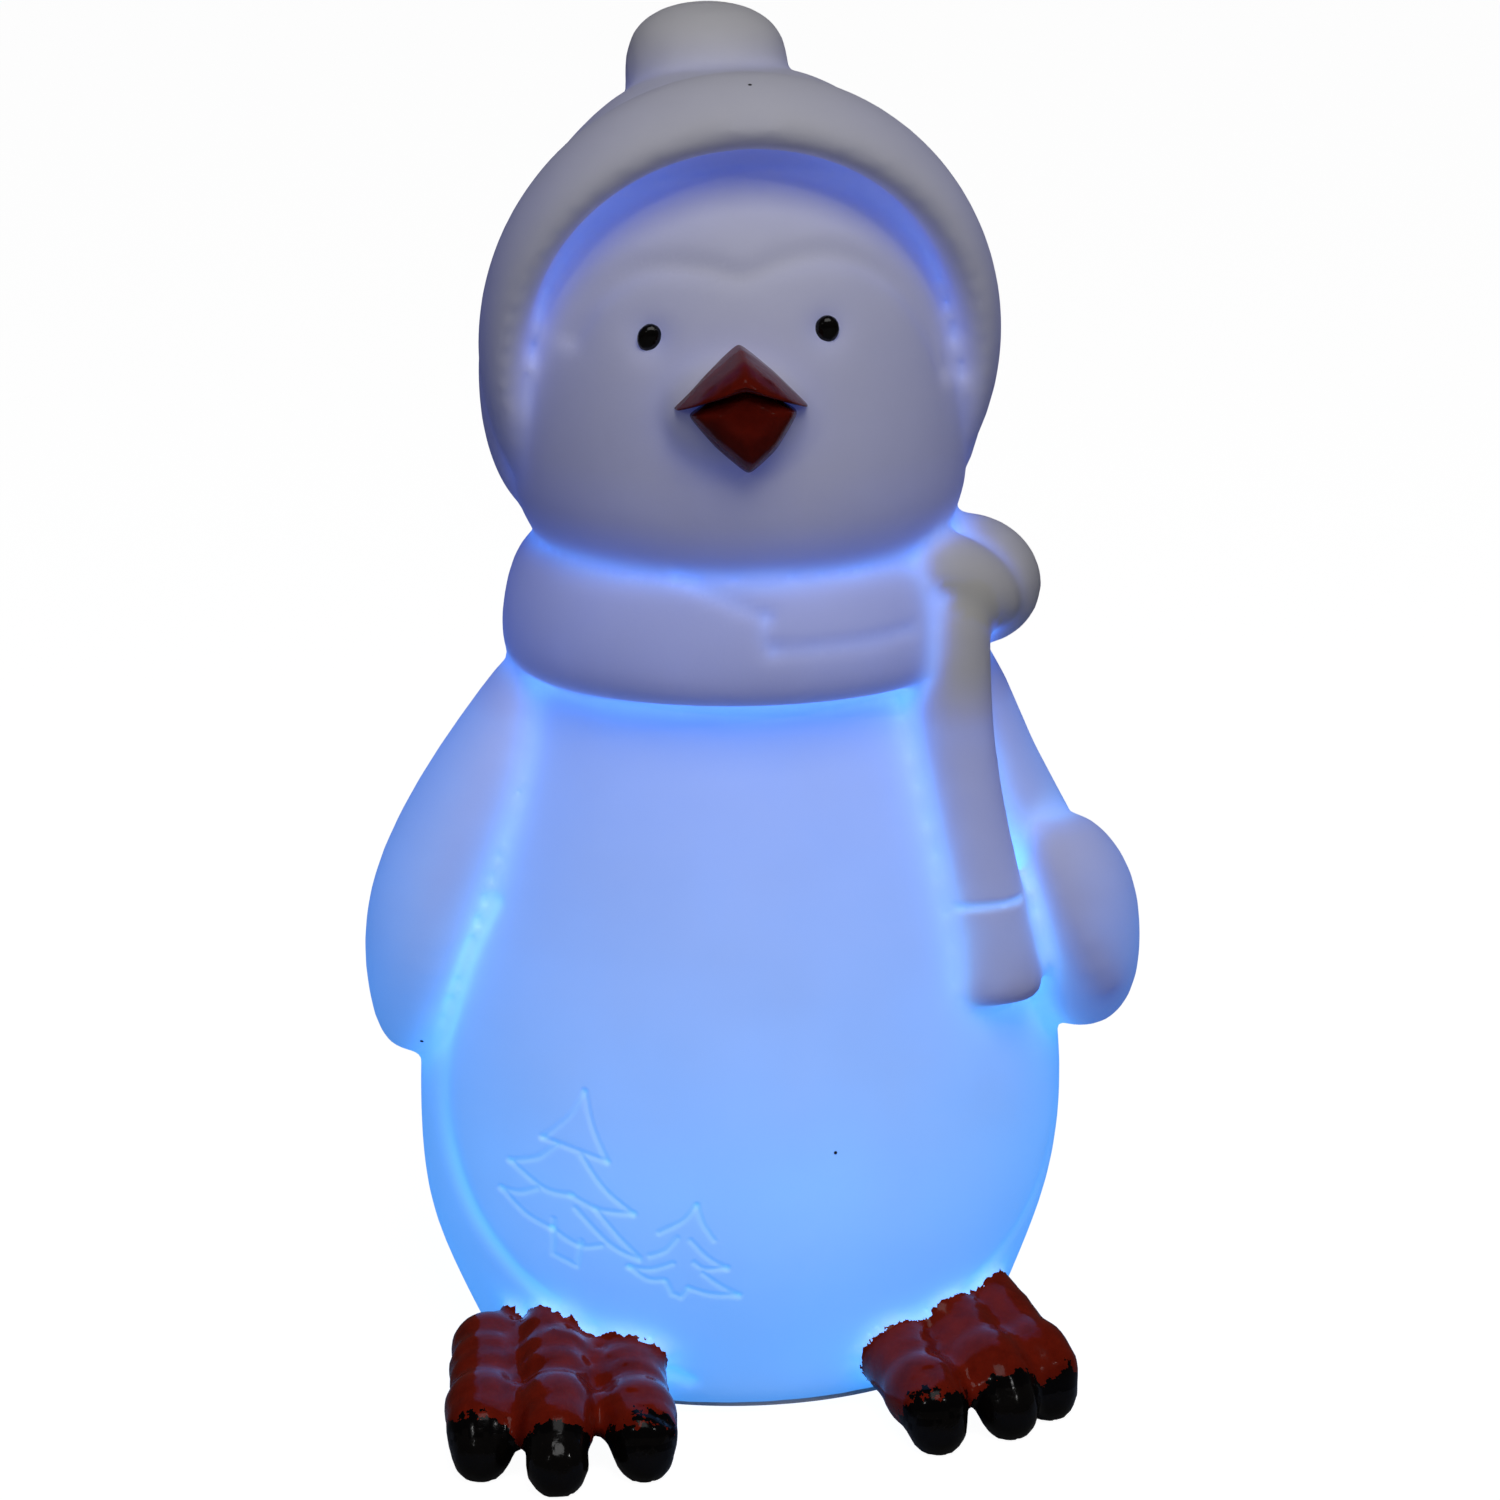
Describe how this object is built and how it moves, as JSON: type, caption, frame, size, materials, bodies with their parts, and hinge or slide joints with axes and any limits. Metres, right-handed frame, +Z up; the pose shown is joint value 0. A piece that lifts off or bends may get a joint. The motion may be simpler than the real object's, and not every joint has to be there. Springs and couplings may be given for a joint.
{
  "type": "light-up porcelain penguin figurine",
  "caption": "Light-up porcelain penguin ornament in a bobble hat and scarf, lit from inside by a plug-in battery light module in its base.",
  "frame": {"origin": "on the table, on the axis of the light module's bore in the base", "axes": "+Z up, the figure's face looks along -Y, +X is the figure's own left"},
  "size_m": [0.0923, 0.0845, 0.1595],
  "materials": {
    "bisque_porcelain": "unglazed bisque, matt, lets light through",
    "red_glaze": "hand-painted glossy red-brown glaze paint",
    "black_glaze": "hand-painted glossy black glaze paint",
    "housing_plastic": "moulded white ABS, fine spark texture",
    "silicone": "translucent white silicone",
    "circuit_laminate": "green solder mask on glass laminate",
    "deck_plastic": "white polypropylene reflector",
    "screw_steel": "zinc-plated steel",
    "led_epoxy": "clear epoxy LED lens",
    "tinned_wire": "tinned wire",
    "cell_steel": "nickel-plated steel can",
    "contact_metal": "nickel-plated spring bronze",
    "switch_shell": "tinned steel switch shell",
    "knob_plastic": "black nylon"
  },
  "bodies": {
    "figure": {"body_shell": "bisque_porcelain", "head_shell": "bisque_porcelain", "hat": "bisque_porcelain", "pompom": "bisque_porcelain", "scarf_wrap": "bisque_porcelain", "scarf_loop": "bisque_porcelain", "scarf_tail": "bisque_porcelain", "right_wing": "bisque_porcelain", "left_wing": "bisque_porcelain", "right_foot": "red_glaze", "left_foot": "red_glaze", "right_claws": "black_glaze", "left_claws": "black_glaze", "upper_beak": "red_glaze", "lower_beak": "red_glaze", "right_eye": "black_glaze", "left_eye": "black_glaze"},
    "light_module": {"module_housing": "housing_plastic", "silicone_ring": "silicone", "circuit_board": "circuit_laminate", "light_deck": "deck_plastic", "deck_screws": "screw_steel", "led_lens": "led_epoxy", "led_leads": "tinned_wire", "coin_cell": "cell_steel", "positive_contact": "contact_metal", "negative_contact": "contact_metal", "switch_body": "switch_shell"},
    "battery_cap": {"battery_cap": "housing_plastic"},
    "switch_knob": {"switch_knob": "knob_plastic"}
  },
  "joints": [
    {"name": "light_module_pull", "type": "slide", "parent": "figure", "child": "light_module", "axis": [0, 0, -1], "range_m": [0, 0.035]},
    {"name": "battery_cap_turn", "type": "hinge", "parent": "light_module", "child": "battery_cap", "pos_m": [0, 0, 0.002], "axis": [0, 0, -1], "range_deg": [0, 30]},
    {"name": "switch_slide", "type": "slide", "parent": "light_module", "child": "switch_knob", "axis": [1, 0, 0], "range_m": [-0.0022, 0]}
  ]
}
